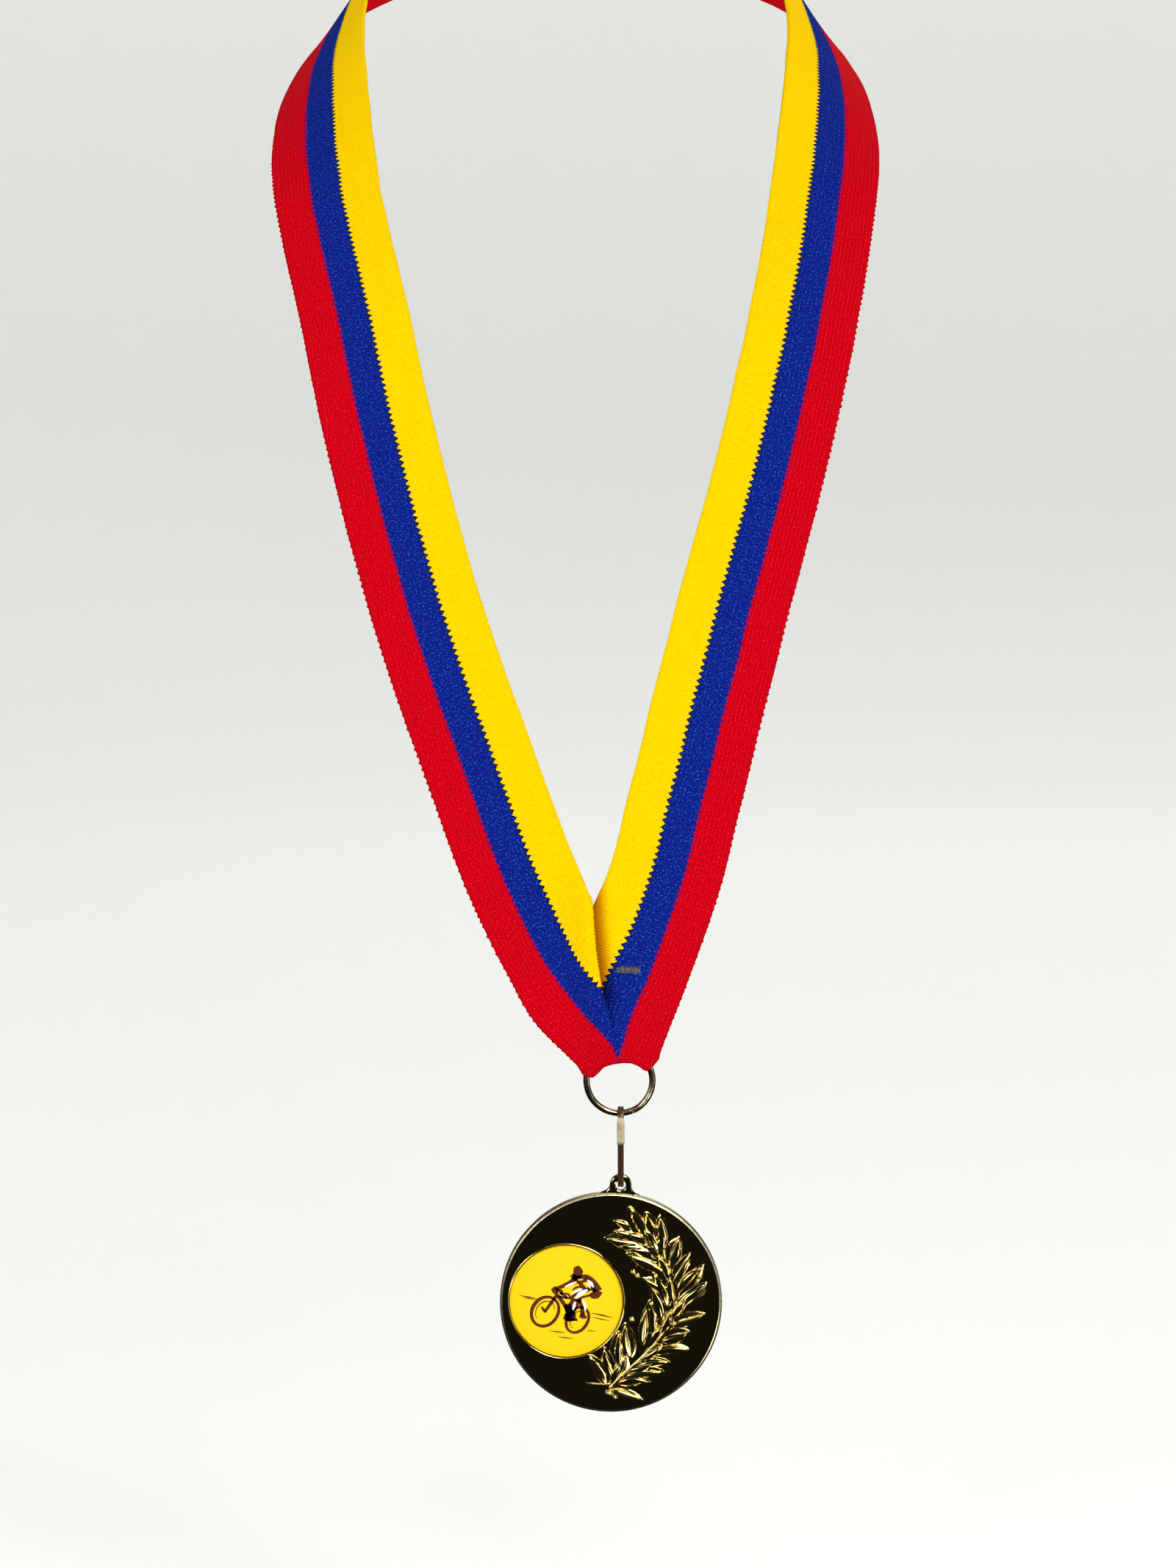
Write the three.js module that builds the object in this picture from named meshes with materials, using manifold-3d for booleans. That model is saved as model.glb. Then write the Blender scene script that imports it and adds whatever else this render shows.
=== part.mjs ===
// A sports finisher medal on a striped neck ribbon, hanging as it is worn.
// Millimetres, +Z up, the medal's face looks along -Y and +X is to the viewer's right.
// The origin is the middle of the neck band, where the ribbon rests on the nape or on a peg.
import * as THREE from "three";
import { mergeVertices } from "three/addons/utils/BufferGeometryUtils.js";
import Module from "manifold-3d";

const wasm = await Module();
wasm.setup();

// Ribbon: 25 mm tape, about 800 mm long.
const ribbonWidth = 25;
const ribbonThickness = 0.9;
const clothGap = 0.3;

// Jump ring, whose centre everything that hangs is measured from.
const ringCentre = new THREE.Vector3(10, -180, -277);
const ringRadius = 7.4;
const ringWire = 1.45;
const ringSplitAngle = THREE.MathUtils.degToRad(-67);
const ringSplitWidth = 0.35;

// Fold of the ribbon round the upper arc of the ring.
const foldRadius = ringRadius - ringWire / 2 - clothGap - ribbonThickness;
const foldTop = 9;
const foldFrom = THREE.MathUtils.degToRad(22);
const foldTo = THREE.MathUtils.degToRad(170);
const layerOffset = ringWire / 2 + clothGap + ribbonThickness / 2;

// Seam where the two straps meet: it leans to the left as it rises.
const seamFoot = new THREE.Vector2(-0.7, 6.1);
const seamLean = THREE.MathUtils.degToRad(8.9);

// Tab of ribbon sewn up behind the seam, and its bar tack.
const tabWidth = 15;
const tabTop = 28;
const tabShift = 1;
const tabLeanAway = 1.9;
const tackSize = new THREE.Vector3(5.5, 0.4, 2);
const tackPlace = new THREE.Vector2(2.05, 25.2);
const tackClearance = 0.5;
const backTackY = 2;

// Strip clip: a flat strip bent into a long loop, hooked through the ring and the lug.
const clipX = 0.3;
const stripWidth = 1.35;
const stripThickness = 0.6;
const coverWidth = 1.7;
const backLegY = 1.6;
const frontLegY = -1.6;
const coverLegY = -2.4;
const topBendZ = -8.1;
const bottomBendZ = -22.24;
const coverEndZ = -14.1;
const innerEndZ = -11;

// Medal.
const medalRadius = 25;
const medalThickness = 3.2;
const edgeBevel = 0.4;
const lugHoleX = 0.3;
const lugHoleZ = -23.7;
const lugHoleRadius = 1.1;
const lugHoleHeight = 26.7;
const lugTop = 29.2;
const lugTopHalf = 1.9;
const lugBaseHalf = 3.7;
const lugShoulder = 1;
const lugFootDepth = 1.5;
const lugThickness = 1.8;
const medalLean = THREE.MathUtils.degToRad(4.7);

// Seat for a standard 25 mm printed insert, left of the centre.
const insertRadius = 12.5;
const insertThickness = 0.6;
const padRadius = 11.8;
const padThickness = 0.2;
const seatX = -10.1;
const seatZ = -0.5;
const seatRadius = insertRadius + 0.3;
const lipWidth = 0.35;
const lipRise = 0.15;
const seatFloorY = -0.4;
const bondGap = 0.05;

// Laurel branch in relief, on an arc to the right of the insert.
const laurelCentre = new THREE.Vector2(-3, 0);
const laurelRadius = 16.8;
const laurelFrom = THREE.MathUtils.degToRad(-72);
const laurelTo = THREE.MathUtils.degToRad(74);
const leafPairs = 13;
const leafLength = 6.4;
const leafWidth = 2;
const leafSpread = THREE.MathUtils.degToRad(42);
const leafRise = 0.5;
const reliefRoot = 0.3;
const branchShare = 0.93;
const endLeafSize = 0.8;
const stemWidth = 0.8;

const roundSteps = 96;

const finishes = {
  ribbon: new THREE.MeshStandardMaterial({ color: 0x1a2f9a, roughness: 0.9, metalness: 0 }),
  thread: new THREE.MeshStandardMaterial({ color: 0x8a8466, roughness: 0.8, metalness: 0 }),
  gold: new THREE.MeshStandardMaterial({ color: 0xd9b45a, roughness: 0.15, metalness: 1 }),
  palegold: new THREE.MeshStandardMaterial({ color: 0xb99a5b, roughness: 0.25, metalness: 1 }),
  print: new THREE.MeshStandardMaterial({ color: 0xf6c80e, roughness: 0.35, metalness: 0 }),
  adhesive: new THREE.MeshStandardMaterial({ color: 0xe8e8e0, roughness: 0.7, metalness: 0 }),
};

// A closed three.js geometry as a solid that can be joined and cut.
function toSolid(geometry) {
  const bare = geometry.clone();
  for (const name of Object.keys(bare.attributes)) {
    if (name !== "position") bare.deleteAttribute(name);
  }
  const merged = mergeVertices(bare, 1e-4);
  return new wasm.Manifold(
    new wasm.Mesh({
      numProp: 3,
      vertProperties: new Float32Array(merged.attributes.position.array),
      triVerts: new Uint32Array(merged.index.array),
    }),
  );
}

function toGeometry(solid) {
  const mesh = solid.getMesh();
  const geometry = new THREE.BufferGeometry();
  geometry.setAttribute("position", new THREE.BufferAttribute(mesh.vertProperties, 3));
  geometry.setIndex(new THREE.BufferAttribute(mesh.triVerts, 1));
  geometry.computeVertexNormals();
  return geometry;
}

function namedMesh(name, geometry, finish) {
  const mesh = new THREE.Mesh(geometry, finishes[finish]);
  mesh.name = name;
  return mesh;
}

// A round bar along Y, centred on x, z and on y = 0.
function roundBar(radius, length, x = 0, z = 0, steps = roundSteps) {
  return new THREE.CylinderGeometry(radius, radius, length, steps).translate(x, 0, z);
}

// An outline drawn in x and z, made solid from y = near to y = far.
function plate(outline, near, far, curveSteps = 12) {
  const slab = new THREE.ExtrudeGeometry(outline, {
    depth: far - near,
    bevelEnabled: false,
    curveSegments: curveSteps,
  });
  return slab.rotateX(Math.PI / 2).translate(0, far, 0);
}

// ---- Ribbon ----
// Stations up one side of the neck: the middle of the tape, and the direction across it
// from its inner, yellow edge to its outer, red edge. The left side is given.
const neckStations = [
  { at: [-58.3, -113, -77], across: [-0.96, -0.1, -0.2] },
  { at: [-61.3, -84, -54], across: [-0.84, 0, -0.54] },
  { at: [-60.3, -55, -36.5], across: [-0.68, 0.14, -0.72] },
  { at: [-51.5, -27.5, -18], across: [-0.42, 0.3, -0.85] },
  { at: [-30, -7.5, -5], across: [-0.2, 0.36, -0.9] },
];
const napeStation = { at: [0, ribbonThickness / 2, 0], across: [0, 0.4, -0.92] };
// The pendant hangs to the right of the middle, so the two lower runs differ.
const leftStations = [
  { at: [12, -181.5, -267.5], across: [-0.72, 0, -0.69] },
  { at: [-2.6, -181.1, -249.3], across: [-0.87, 0, -0.5] },
  { at: [-12, -178.6, -231], across: [-0.92, -0.04, -0.39] },
  { at: [-19.4, -175.5, -211.7], across: [-0.94, -0.05, -0.35] },
  { at: [-32.9, -167, -173.7], across: [-0.96, -0.09, -0.26] },
  { at: [-44, -151.8, -135], across: [-0.97, -0.11, -0.22] },
  { at: [-51.1, -135.5, -105], across: [-0.98, -0.12, -0.16] },
];
const rightStations = [
  { at: [52.9, -135.5, -105], across: [0.98, -0.12, -0.16] },
  { at: [45.8, -151.8, -135], across: [0.97, -0.11, -0.22] },
  { at: [35, -167, -173.7], across: [0.96, -0.09, -0.26] },
  { at: [24.9, -175.5, -213], across: [0.97, -0.04, -0.25] },
  { at: [20.1, -178.6, -231.7], across: [0.945, 0, -0.33] },
  { at: [13.2, -181.1, -251], across: [0.935, 0, -0.355] },
  { at: [6.3, -181.5, -269.3], across: [0.93, 0, -0.365] },
];
const mirrored = ({ at, across }) => ({
  at: [-at[0], at[1], at[2]],
  across: [-across[0], across[1], across[2]],
});
const stations = [
  ...leftStations,
  ...neckStations,
  napeStation,
  ...neckStations.map(mirrored).reverse(),
  ...rightStations,
];
const ribbonRoute = new THREE.CatmullRomCurve3(stations.map((s) => new THREE.Vector3(...s.at)));
const ribbonAcross = new THREE.CatmullRomCurve3(
  stations.map((s) => new THREE.Vector3(...s.across)),
);
const lastStation = stations.length - 1;
const leftCrest = leftStations.length + 1;
const rightCrest = lastStation - leftCrest;

// Bends a straight bar of cloth along the route between two stations:
// x runs across the tape, y through it to its outer face and z along it.
function tape(fromStation, toStation, steps) {
  const bar = new THREE.BoxGeometry(ribbonWidth, ribbonThickness, 1, 2, 1, steps);
  const place = bar.attributes.position;
  for (let i = 0; i < place.count; i++) {
    const station = THREE.MathUtils.lerp(fromStation, toStation, place.getZ(i) + 0.5);
    const t = station / lastStation;
    const along = ribbonRoute.getTangent(t);
    const outer = along.clone().cross(ribbonAcross.getPoint(t)).normalize();
    const across = outer.clone().cross(along);
    const point = ribbonRoute
      .getPoint(t)
      .addScaledVector(across, place.getX(i))
      .addScaledVector(outer, place.getY(i));
    place.setXYZ(i, point.x, point.y, point.z);
  }
  return bar;
}

// A block that covers everything on one side of the seam: side -1 is left, 1 is right.
function besideSeam(side) {
  const reach = 100;
  return new THREE.BoxGeometry(reach, reach, reach)
    .translate((side * (reach - clothGap)) / 2, 0, 0)
    .rotateY(-seamLean)
    .translate(ringCentre.x + seamFoot.x, ringCentre.y, ringCentre.z + seamFoot.y);
}

function aroundRing(radius) {
  return roundBar(radius, 20).translate(ringCentre.x, ringCentre.y, ringCentre.z);
}

function strap(name, fromStation, toStation, side) {
  const solid = toSolid(tape(fromStation, toStation, 36))
    .subtract(toSolid(besideSeam(-side)))
    .subtract(toSolid(aroundRing(foldTop + clothGap)));
  return namedMesh(name, toGeometry(solid), "ribbon");
}

// The ribbon turned round the ring's upper arc: a U section revolved about the ring's axis.
function ribbonFold() {
  const outer = layerOffset + ribbonThickness / 2;
  const inner = layerOffset - ribbonThickness / 2;
  const channel = foldRadius + ribbonThickness;
  const section = [
    [foldTop, -outer],
    [foldTop, -inner],
    [channel + 0.4, -inner],
    [channel, -inner + 0.4],
    [channel, inner - 0.4],
    [channel + 0.4, inner],
    [foldTop, inner],
    [foldTop, outer],
    [foldRadius + 0.8, outer],
    [foldRadius, outer - 0.8],
    [foldRadius, -outer + 0.8],
    [foldRadius + 0.8, -outer],
    [foldTop, -outer],
  ].map(([r, y]) => new THREE.Vector2(r, y));
  const reach = 20;
  const sector = new THREE.Shape();
  sector.moveTo(0, 0);
  sector.absarc(0, 0, reach, foldFrom, foldTo, false);
  sector.lineTo(0, 0);
  const solid = toSolid(new THREE.LatheGeometry(section, 72)).intersect(
    toSolid(plate(sector, -reach, reach)),
  );
  return namedMesh("ribbon_fold", toGeometry(solid), "ribbon");
}

// The tab behind the seam closes up to the straps as it rises from the ring.
function ribbonTab() {
  const bottom = foldTop - 3;
  const bar = new THREE.BoxGeometry(tabWidth, ribbonThickness, tabTop - bottom, 4, 1, 16);
  const place = bar.attributes.position;
  const closed = layerOffset - ribbonThickness - clothGap;
  for (let i = 0; i < place.count; i++) {
    const z = place.getZ(i) + (tabTop + bottom) / 2;
    const near = THREE.MathUtils.smoothstep(z, foldTop, tabTop * 0.6);
    const middle = THREE.MathUtils.lerp(layerOffset, -closed, near);
    const leanAway = tabLeanAway * THREE.MathUtils.smoothstep(z, tabTop * 0.55, tabTop * 1.1);
    const lean = -(z - seamFoot.y) * Math.tan(seamLean);
    place.setXYZ(i, place.getX(i) + lean + tabShift, place.getY(i) + middle + leanAway, z);
  }
  const solid = toSolid(bar).subtract(toSolid(roundBar(foldTop + clothGap, 20)));
  return namedMesh("ribbon_back_tab", toGeometry(solid), "ribbon");
}

function barTack(name, y) {
  const stitches = new THREE.BoxGeometry(tackSize.x, tackSize.y, tackSize.z);
  return namedMesh(name, stitches.translate(tackPlace.x, y, tackPlace.y), "thread");
}

// ---- Jump ring ----
function jumpRing() {
  const torus = new THREE.TorusGeometry(ringRadius, ringWire / 2, 12, 72).rotateX(Math.PI / 2);
  const saw = new THREE.BoxGeometry(4, 4, ringSplitWidth)
    .translate(ringRadius, 0, 0)
    .rotateY(-ringSplitAngle);
  return namedMesh("jump_ring", toGeometry(toSolid(torus).subtract(toSolid(saw))), "palegold");
}

// ---- Clip ----
function halfTurn(y, z, radius, fromAngle, toAngle, steps = 10) {
  const points = [];
  for (let i = 0; i <= steps; i++) {
    const angle = THREE.MathUtils.lerp(fromAngle, toAngle, i / steps);
    points.push(new THREE.Vector3(0, y + radius * Math.cos(angle), z + radius * Math.sin(angle)));
  }
  return points;
}

// The strip starts outside the front leg, turns over the ring and down the back,
// goes through the lug and ends inside its own start.
function stripClip() {
  const topRadius = (backLegY - coverLegY) / 2;
  const bottomRadius = (backLegY - frontLegY) / 2;
  const route = new THREE.CatmullRomCurve3(
    [
      new THREE.Vector3(0, coverLegY, coverEndZ),
      new THREE.Vector3(0, coverLegY, coverEndZ + 2.5),
      ...halfTurn((backLegY + coverLegY) / 2, topBendZ, topRadius, Math.PI, 0),
      new THREE.Vector3(0, backLegY, (topBendZ + bottomBendZ) / 2),
      ...halfTurn(0, bottomBendZ, bottomRadius, 0, -Math.PI),
      new THREE.Vector3(0, frontLegY, innerEndZ - 3),
      new THREE.Vector3(0, frontLegY, innerEndZ),
    ],
    false,
    "centripetal",
  );
  const section = new THREE.Shape();
  section.moveTo(-stripThickness / 2, -stripWidth / 2);
  section.lineTo(stripThickness / 2, -stripWidth / 2);
  section.lineTo(stripThickness / 2, stripWidth / 2);
  section.lineTo(-stripThickness / 2, stripWidth / 2);
  const strip = new THREE.ExtrudeGeometry(section, { steps: 90, extrudePath: route });
  const coverLength = topBendZ - coverEndZ;
  const cover = new THREE.BoxGeometry(coverWidth, stripThickness, coverLength).translate(
    0,
    coverLegY,
    topBendZ - coverLength / 2,
  );
  const clip = namedMesh("strip_clip", toGeometry(toSolid(strip).add(toSolid(cover))), "palegold");
  clip.position.x = clipX;
  return clip;
}

// ---- Medal ----
// Everything here is in the medal's own frame: centre of the disc at the origin, lug up.
function medalDisc() {
  const half = medalThickness / 2;
  const profile = [
    [0, half],
    [medalRadius - edgeBevel, half],
    [medalRadius, half - edgeBevel],
    [medalRadius, -half + edgeBevel],
    [medalRadius - edgeBevel, -half],
    [0, -half],
  ];
  return new THREE.LatheGeometry(
    profile.map(([r, y]) => new THREE.Vector2(r, y)).reverse(),
    roundSteps,
  );
}

function lug() {
  const outline = new THREE.Shape();
  const foot = medalRadius - lugFootDepth;
  outline.moveTo(-lugBaseHalf, foot);
  outline.lineTo(lugBaseHalf, foot);
  outline.lineTo(lugBaseHalf, medalRadius);
  outline.lineTo(lugTopHalf, lugTop - lugShoulder);
  outline.quadraticCurveTo(lugTopHalf, lugTop, 0, lugTop);
  outline.quadraticCurveTo(-lugTopHalf, lugTop, -lugTopHalf, lugTop - lugShoulder);
  outline.lineTo(-lugBaseHalf, medalRadius);
  return plate(outline, -lugThickness / 2, lugThickness / 2);
}

function leafOutline(length, width) {
  const outline = new THREE.Shape();
  outline.moveTo(0, 0);
  outline.quadraticCurveTo(width * 0.95, length * 0.45, 0, length);
  outline.quadraticCurveTo(-width * 0.95, length * 0.45, 0, 0);
  return outline;
}

// The branch: a curved stem, and pairs of leaves that shorten towards both ends.
function laurelPieces() {
  const top = -medalThickness / 2 - leafRise;
  const root = -medalThickness / 2 + reliefRoot;
  const stem = new THREE.Shape();
  stem.absarc(0, 0, laurelRadius + stemWidth / 2, laurelFrom, laurelTo, false);
  stem.absarc(0, 0, laurelRadius - stemWidth / 2, laurelTo, laurelFrom, true);
  const pieces = [plate(stem, top, root, 32).translate(laurelCentre.x, 0, laurelCentre.y)];
  for (let pair = 0; pair < leafPairs; pair++) {
    const share = pair / (leafPairs - 1);
    const angle = THREE.MathUtils.lerp(laurelFrom, laurelTo, share * branchShare);
    const size = THREE.MathUtils.lerp(endLeafSize, 1, Math.sin(Math.PI * share));
    for (const side of [-1, 1]) {
      const leaf = plate(leafOutline(leafLength * size, leafWidth * size), top, root, 6);
      pieces.push(
        leaf
          .rotateY(-angle + side * leafSpread)
          .translate(
            laurelCentre.x + laurelRadius * Math.cos(angle),
            0,
            laurelCentre.y + laurelRadius * Math.sin(angle),
          ),
      );
    }
  }
  const tip = plate(leafOutline(leafLength * endLeafSize, leafWidth * endLeafSize), top, root, 6);
  pieces.push(
    tip
      .rotateY(-laurelTo)
      .translate(
        laurelCentre.x + laurelRadius * Math.cos(laurelTo),
        0,
        laurelCentre.y + laurelRadius * Math.sin(laurelTo),
      ),
  );
  return pieces;
}

function medalBody() {
  const lipTop = -medalThickness / 2 - lipRise;
  const lipLength = 1;
  const lip = roundBar(seatRadius + lipWidth, lipLength).translate(
    seatX,
    lipTop + lipLength / 2,
    seatZ,
  );
  const pocket = roundBar(seatRadius, 4).translate(seatX, seatFloorY - 2, seatZ);
  let solid = toSolid(medalDisc()).add(toSolid(lug())).add(toSolid(lip));
  for (const piece of laurelPieces()) solid = solid.add(toSolid(piece));
  solid = solid
    .subtract(toSolid(pocket))
    .subtract(toSolid(roundBar(lugHoleRadius, 6, 0, lugHoleHeight, 32)));
  return namedMesh("medal_body", toGeometry(solid), "gold");
}

function seated(name, radius, thickness, floorY, finish) {
  const disc = roundBar(radius, thickness).translate(seatX, floorY - thickness / 2, seatZ);
  return namedMesh(name, disc, finish);
}

// ---- Assembly ----
const medal = new THREE.Group();
medal.position.set(
  lugHoleX - lugHoleHeight * Math.sin(medalLean),
  0,
  lugHoleZ - lugHoleHeight * Math.cos(medalLean),
);
medal.rotation.y = medalLean;
const padFloor = seatFloorY - bondGap;
medal.add(
  medalBody(),
  seated("adhesive_pad", padRadius, padThickness, padFloor, "adhesive"),
  seated("printed_insert", insertRadius, insertThickness, padFloor - padThickness - bondGap, "print"),
);

const hanging = new THREE.Group();
hanging.position.copy(ringCentre);
hanging.add(
  ribbonFold(),
  ribbonTab(),
  barTack("bar_tack_front", -layerOffset - ribbonThickness / 2 - tackClearance),
  barTack("bar_tack_back", backTackY),
  jumpRing(),
  stripClip(),
  medal,
);

const finisherMedal = new THREE.Group();
const jointGap = 0.006;
const endTrim = 0.02;
finisherMedal.add(
  strap("ribbon_left_strap", endTrim, leftCrest - jointGap, -1),
  namedMesh("ribbon_neck_band", tape(leftCrest + jointGap, rightCrest - jointGap, 44), "ribbon"),
  strap("ribbon_right_strap", rightCrest + jointGap, lastStation - endTrim, 1),
  hanging,
);

export default finisherMedal;
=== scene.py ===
import math
import random
import bmesh
import bpy
from mathutils import Matrix, Vector, noise


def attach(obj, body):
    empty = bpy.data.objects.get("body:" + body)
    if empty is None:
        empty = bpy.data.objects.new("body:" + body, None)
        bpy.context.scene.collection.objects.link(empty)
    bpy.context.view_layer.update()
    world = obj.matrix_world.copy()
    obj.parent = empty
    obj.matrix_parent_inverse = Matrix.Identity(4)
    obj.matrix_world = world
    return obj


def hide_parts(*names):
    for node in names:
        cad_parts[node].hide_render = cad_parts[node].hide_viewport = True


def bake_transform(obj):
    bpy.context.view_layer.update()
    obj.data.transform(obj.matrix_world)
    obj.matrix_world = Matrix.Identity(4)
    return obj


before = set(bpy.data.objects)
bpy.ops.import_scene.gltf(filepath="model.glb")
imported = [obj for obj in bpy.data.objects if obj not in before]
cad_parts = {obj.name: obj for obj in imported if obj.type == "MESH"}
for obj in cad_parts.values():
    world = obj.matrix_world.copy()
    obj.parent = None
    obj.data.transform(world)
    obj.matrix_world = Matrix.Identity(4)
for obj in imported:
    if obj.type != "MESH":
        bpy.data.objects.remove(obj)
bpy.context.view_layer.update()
scene = bpy.context.scene
mm = 0.001

ringMiddle = Vector((10, -180, -277))  # in millimetres
ringCentre = ringMiddle * mm
print("frame loaded")


def makePiece(name, bm, material, smooth=True):
    bmesh.ops.recalc_face_normals(bm, faces=bm.faces)
    mesh = bpy.data.meshes.new(name)
    bm.to_mesh(mesh)
    bm.free()
    if smooth:
        mesh.shade_smooth()
    piece = bpy.data.objects.new(name, mesh)
    scene.collection.objects.link(piece)
    piece.data.materials.append(material)
    return piece


def addCopy(bm, part):
    # Adds a part made in its own bmesh, which is much quicker than growing a large one.
    mesh = bpy.data.meshes.new("part")
    part.to_mesh(mesh)
    part.free()
    bm.from_mesh(mesh)
    bpy.data.meshes.remove(mesh)


def smoothStep(x, low, high):
    t = min(max((x - low) / (high - low), 0.0), 1.0)
    return t * t * (3.0 - 2.0 * t)


def catmullRom(points, steps):
    # Points along one smooth curve through all the given ones, steps to each stretch.
    out = []
    ends = [points[0] * 2 - points[1], *points, points[-1] * 2 - points[-2]]
    for i in range(1, len(ends) - 2):
        p0, p1, p2, p3 = ends[i - 1:i + 3]
        t0 = 0.0
        t1 = t0 + max((p1 - p0).length, 1e-9) ** 0.5
        t2 = t1 + max((p2 - p1).length, 1e-9) ** 0.5
        t3 = t2 + max((p3 - p2).length, 1e-9) ** 0.5
        for k in range(steps):
            t = t1 + (t2 - t1) * k / steps
            a1 = p0 * ((t1 - t) / (t1 - t0)) + p1 * ((t - t0) / (t1 - t0))
            a2 = p1 * ((t2 - t) / (t2 - t1)) + p2 * ((t - t1) / (t2 - t1))
            a3 = p2 * ((t3 - t) / (t3 - t2)) + p3 * ((t - t2) / (t3 - t2))
            b1 = a1 * ((t2 - t) / (t2 - t0)) + a2 * ((t - t0) / (t2 - t0))
            b2 = a2 * ((t3 - t) / (t3 - t1)) + a3 * ((t - t1) / (t3 - t1))
            out.append(b1 * ((t2 - t) / (t2 - t1)) + b2 * ((t - t1) / (t2 - t1)))
    out.append(points[-1].copy())
    return out


def sweep(bm, path, halfA, halfB, sideways, around=12, squareness=2.0, taper=None):
    # A closed bar along a path. Its section is a rounded rectangle, halfA along sideways.
    n = len(path)
    made = bmesh.ops.create_grid(bm, x_segments=around, y_segments=n - 1, size=0.5)["verts"]
    for vert in made:
        i = round((vert.co.y + 0.5) * (n - 1))
        turn = (vert.co.x + 0.5) * 2 * math.pi
        along = (path[min(i + 1, n - 1)] - path[max(i - 1, 0)]).normalized()
        side = (sideways - along * sideways.dot(along)).normalized()
        other = along.cross(side)
        c, s = math.cos(turn), math.sin(turn)
        grow = taper(i / (n - 1)) if taper else 1.0
        a = math.copysign(abs(c) ** (2 / squareness), c) * halfA * grow
        b = math.copysign(abs(s) ** (2 / squareness), s) * halfB * grow
        vert.co = path[i] + side * a + other * b
    bmesh.ops.remove_doubles(bm, verts=made, dist=1e-7)
    rims = [e for e in bm.edges if e.is_boundary]
    bmesh.ops.holes_fill(bm, edges=rims)


def lathe(bm, profile, steps, centre=(0, 0, 0)):
    # A profile of (radius, y) turned about Y, closed where it meets the axis.
    verts = [bm.verts.new((r, y, 0)) for r, y in profile]
    edges = [bm.edges.new(pair) for pair in zip(verts, verts[1:])]
    bmesh.ops.spin(
        bm, geom=verts + edges, cent=(0, 0, 0), axis=(0, 1, 0),
        angle=2 * math.pi, steps=steps, use_merge=True,
    )
    bmesh.ops.remove_doubles(bm, verts=bm.verts, dist=1e-7)
    bmesh.ops.translate(bm, verts=bm.verts, vec=centre)


class Nodes:
    # Short calls for building a node tree.
    def __init__(self, name):
        self.material = bpy.data.materials.new(name)
        self.material.use_nodes = True
        self.tree = self.material.node_tree
        self.shader = self.tree.nodes["Principled BSDF"]

    def add(self, kind, **inputs):
        node = self.tree.nodes.new(kind)
        for key, value in inputs.items():
            self.put(node, key, value)
        return node

    def put(self, node, key, value):
        socket = node.inputs[key.replace("_", " ")] if isinstance(key, str) else node.inputs[key]
        if isinstance(value, bpy.types.NodeSocket):
            self.tree.links.new(value, socket)
        else:
            socket.default_value = value

    def math(self, operation, a, b=0.0, c=0.0, clamp=False):
        node = self.tree.nodes.new("ShaderNodeMath")
        node.operation = operation
        node.use_clamp = clamp
        for i, value in enumerate((a, b, c)):
            self.put(node, i, value)
        return node.outputs[0]

    def mix(self, share, a, b):
        node = self.tree.nodes.new("ShaderNodeMix")
        node.data_type = "RGBA"
        self.put(node, 0, share)
        self.put(node, 6, a)
        self.put(node, 7, b)
        return node.outputs[2]

    def ramp(self, value, low, high, toLow=0.0, toHigh=1.0):
        node = self.tree.nodes.new("ShaderNodeMapRange")
        node.interpolation_type = "SMOOTHSTEP"
        for i, x in enumerate((value, low, high, toLow, toHigh)):
            self.put(node, i, x)
        return node.outputs[0]

    def noise(self, vector, scale, detail=2.0, rough=0.5):
        node = self.add("ShaderNodeTexNoise", Scale=scale, Detail=detail, Roughness=rough)
        self.put(node, "Vector", vector)
        return node.outputs[0]

    def place(self, scale=(1, 1, 1)):
        coord = self.tree.nodes.new("ShaderNodeTexCoord")
        mapping = self.add("ShaderNodeMapping")
        self.put(mapping, "Vector", coord.outputs["Object"])
        mapping.inputs["Scale"].default_value = scale
        return mapping.outputs[0]

    def bump(self, height, strength, distance):
        node = self.add("ShaderNodeBump", Strength=strength, Distance=distance)
        self.put(node, "Height", height)
        self.put(self.shader, "Normal", node.outputs[0])

    def set(self, **inputs):
        for key, value in inputs.items():
            self.put(self.shader, key, value)


# The neck ribbon: a warp-knitted tape, yellow, blue and red.
# The darker colours for the hollows in the knit and beside the seam are painted shade.
weaveLook = dict(
    yellowTo=8.6, blueTo=16.1, toothPitch=1.55, toothDepth=0.95, pinkDepth=0.65,
    yellow=(1.0, 0.64, 0.0, 1), blue=(0.0, 0.013, 0.26, 1), blueFleck=(0.05, 0.2, 0.75, 1),
    red=(0.68, 0.0, 0.004, 1), redFleck=(0.95, 0.03, 0.06, 1),
    notch=(0.004, 0.012, 0.02, 1), pink=(0.2, 0.0, 0.12, 1), yellowDark=(0.78, 0.4, 0.0, 1),
    yellowGrooveShade=(0.6, 0.26, 0.0, 1), darkGrooveShade=(0.03, 0.0, 0.02, 1), speck=(0.015, 0.0, 0.02, 1),
    yellowWeftShade=(0.7, 0.3, 0.0, 1), darkWeftShade=(0.02, 0.0, 0.02, 1), valleyShadeTint=(0.5, 0.26, 0.3, 1),
    pinkPitch=1.5, weftPitch=0.62, walePitch=0.9, stitchPitch=0.45, fineScale=34.0, coarseScale=6.0,
    fleckScale=22.0, bumpDepth=0.00026,
)


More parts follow.
